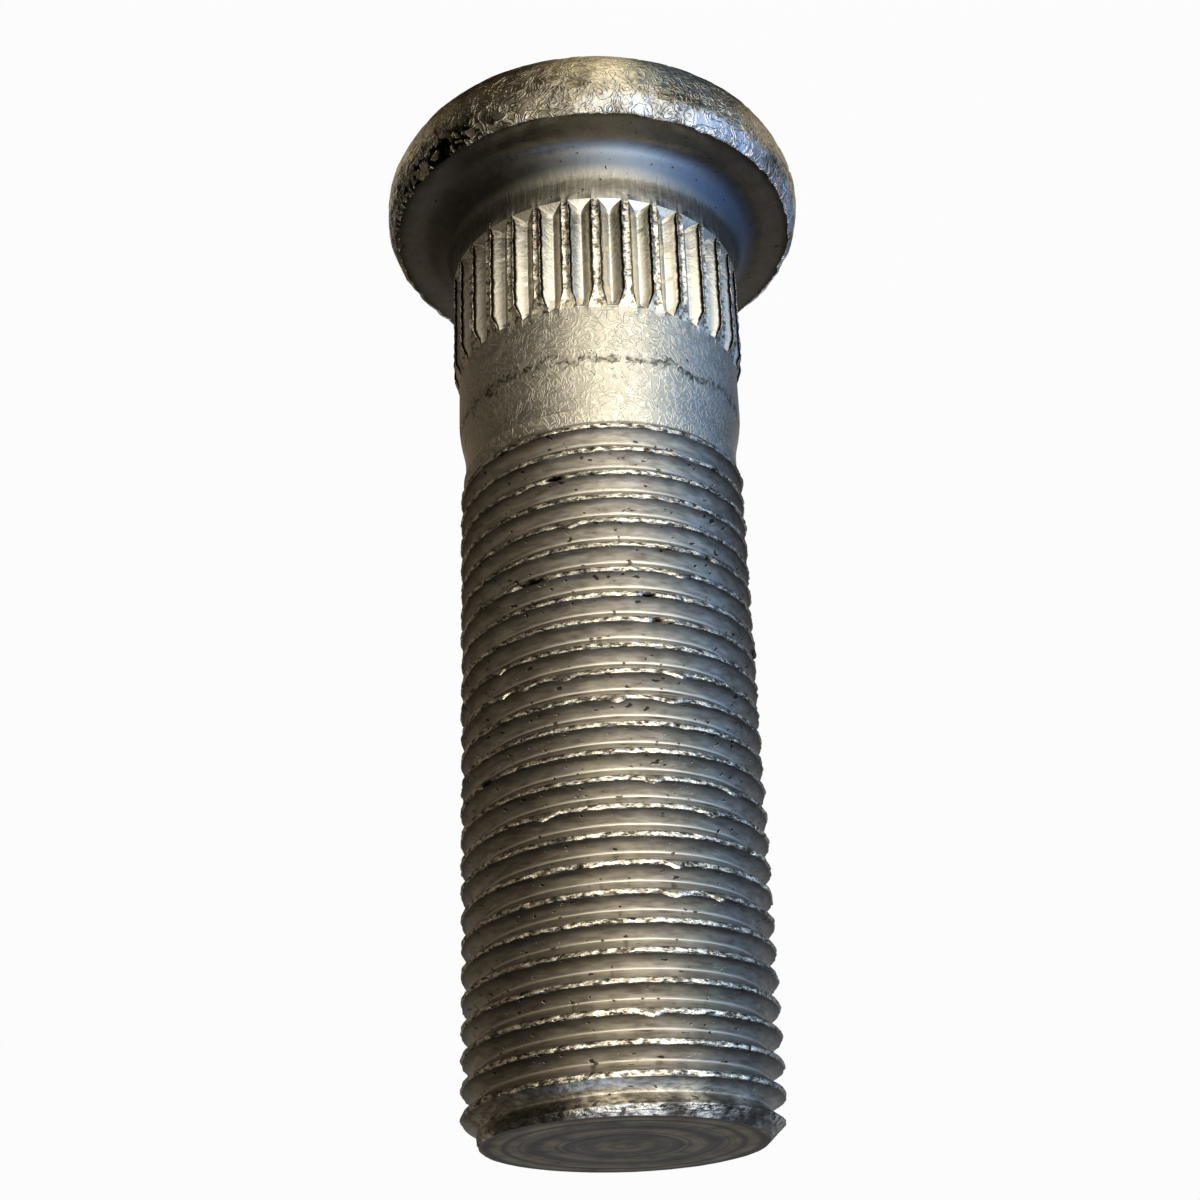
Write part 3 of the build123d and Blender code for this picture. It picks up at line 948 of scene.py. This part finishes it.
# %% Room
world = bpy.data.worlds.new("room")
bpy.context.scene.world = world
world.use_nodes = True
tree = world.node_tree
tree.nodes.clear()
path = add(tree, "LightPath")
room = add(tree, "Background", {"Color": linear("#8d867c"), "Strength": 0.25})
white = add(tree, "Background", {"Color": (1, 1, 1, 1), "Strength": 1.0})
behind = add(tree, "MixShader", {0: path.outputs["Is Camera Ray"], 1: room, 2: white})
add(tree, "OutputWorld", {"Surface": behind})
print("world:", len(tree.nodes), "nodes")

# %% Softbox
lamp_place, lamp_aim = Vector((-35, -20, 300)), Vector((0, 0, 30))
softbox = bpy.data.lights.new("top_softbox", "AREA")
softbox.shape = "RECTANGLE"
softbox.size, softbox.size_y = 130 * mm, 240 * mm
softbox.energy = 0.2
softbox.color = linear("#cfe0ff")[:3]
lamp = bpy.data.objects.new("top_softbox", softbox)
bpy.context.scene.collection.objects.link(lamp)
lamp.location = lamp_place * mm
lamp.rotation_mode = "QUATERNION"
lamp.rotation_quaternion = (lamp_aim - lamp_place).to_track_quat("-Z", "Y")
print("softbox", round((lamp_aim - lamp_place).length), "mm away,", round(softbox.energy, 2), "W")

# %% [markdown]
# ## Camera
#
# The picture was taken from near the tip, a little to one side, and hangs head up, so the camera stands
# above the tip's height, looks down along the stud and is turned upside down. Its place and lens follow from
# the outlines of the head, the end and the thread in the picture.

# %% Camera
eye, aim = Vector((-2.908, -91.858, 76.209)) * mm, Vector((0.419, 0, 32.619)) * mm
forward = (aim - eye).normalized()
right = forward.cross(Vector((0, 0, -1))).normalized()
down = forward.cross(right)
roll = -0.0337
right, down = right * math.cos(roll) - down * math.sin(roll), right * math.sin(roll) + down * math.cos(roll)
camera_data = bpy.data.cameras.new("camera")
camera = bpy.data.objects.new("camera", camera_data)
bpy.context.scene.collection.objects.link(camera)
camera.matrix_world = Matrix.Translation(eye) @ Matrix((right, -down, -forward)).transposed().to_4x4()
# The lens and its shift were solved in pixels of the picture
picture_px, focal_px, shift_px = 1200, 1893, 54
camera_data.sensor_width = 36
camera_data.lens = focal_px / picture_px * camera_data.sensor_width
camera_data.shift_y = shift_px / picture_px
camera_data.clip_start, camera_data.clip_end = 1 * mm, 20
bpy.context.scene.camera = camera
bpy.context.scene.view_settings.view_transform = "Standard"
print("camera", round((aim - eye).length / mm), "mm away, lens", round(camera_data.lens, 1), "mm")

# %% [markdown]
# ## Sizes
#
# The dressed stud is meant to stay inside the CAD stud's box. The dressed stud's box is printed in mm.

# %% Sizes and finish
low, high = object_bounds()
print("visual box in mm:", [round(c / mm, 3) for c in (*low, *high)])
